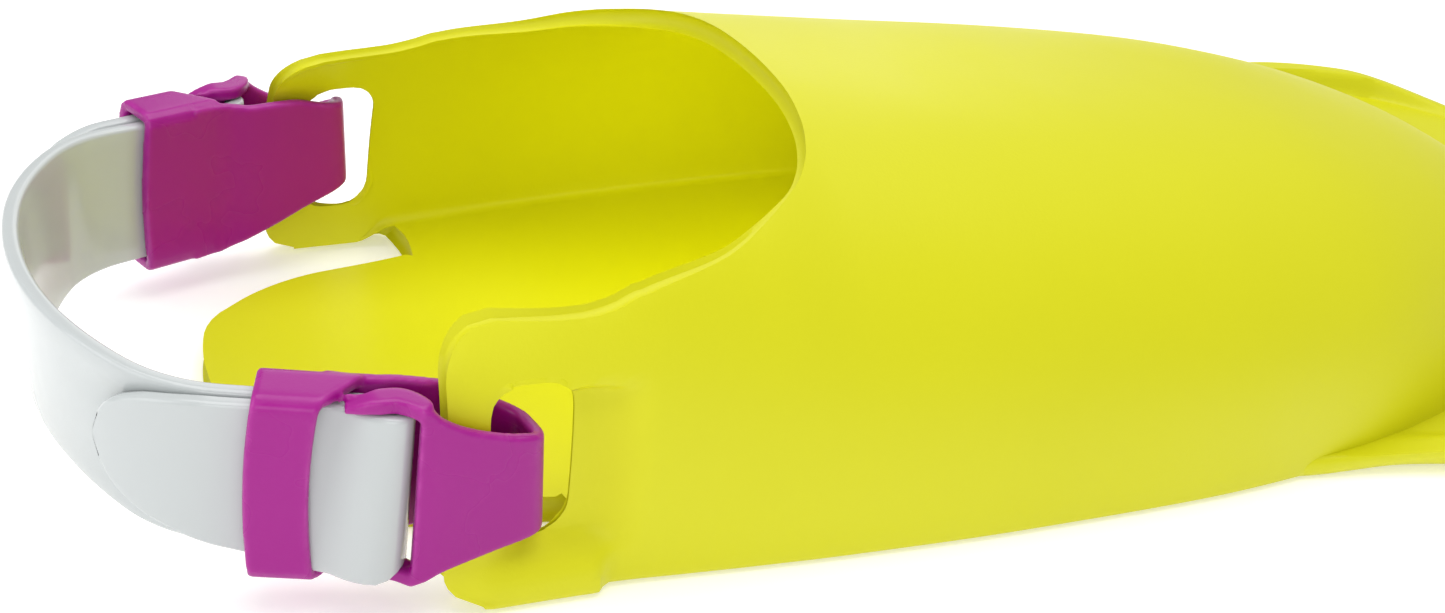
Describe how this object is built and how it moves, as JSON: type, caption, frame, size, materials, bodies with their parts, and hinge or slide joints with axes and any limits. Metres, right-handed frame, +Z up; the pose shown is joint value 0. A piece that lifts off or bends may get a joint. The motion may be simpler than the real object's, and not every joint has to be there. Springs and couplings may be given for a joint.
{
  "type": "swim fin",
  "caption": "Short open-heel rubber swim fin with a closed foot pocket, a ribbed rounded blade and a heel strap hung from the pocket's ears by hook buckles",
  "frame": {"origin": "on the sole's flat lower face, on the centre plane, at the rear edge line of the two ears that carry the strap", "axes": "+X from the heel to the blade's tip, +Y to the wearer's left, +Z up from the sole"},
  "size_m": [0.329, 0.153, 0.0495],
  "materials": {
    "fin_rubber": "satin moulded thermoplastic rubber, lime yellow",
    "strap_elastomer": "glossy moulded elastomer, white grey",
    "buckle_plastic": "semi-gloss injection-moulded plastic, magenta"
  },
  "bodies": {
    "fin": {"fin_body": "fin_rubber"},
    "strap_assembly": {"heel_strap": "strap_elastomer", "buckle_left": "buckle_plastic", "buckle_right": "buckle_plastic"}
  },
  "joints": [
    {"name": "strap_swing", "type": "hinge", "parent": "fin", "child": "strap_assembly", "pos_m": [0.0085, 0, 0.018], "axis": [0, 1, 0], "range_deg": [-5, 8]}
  ]
}
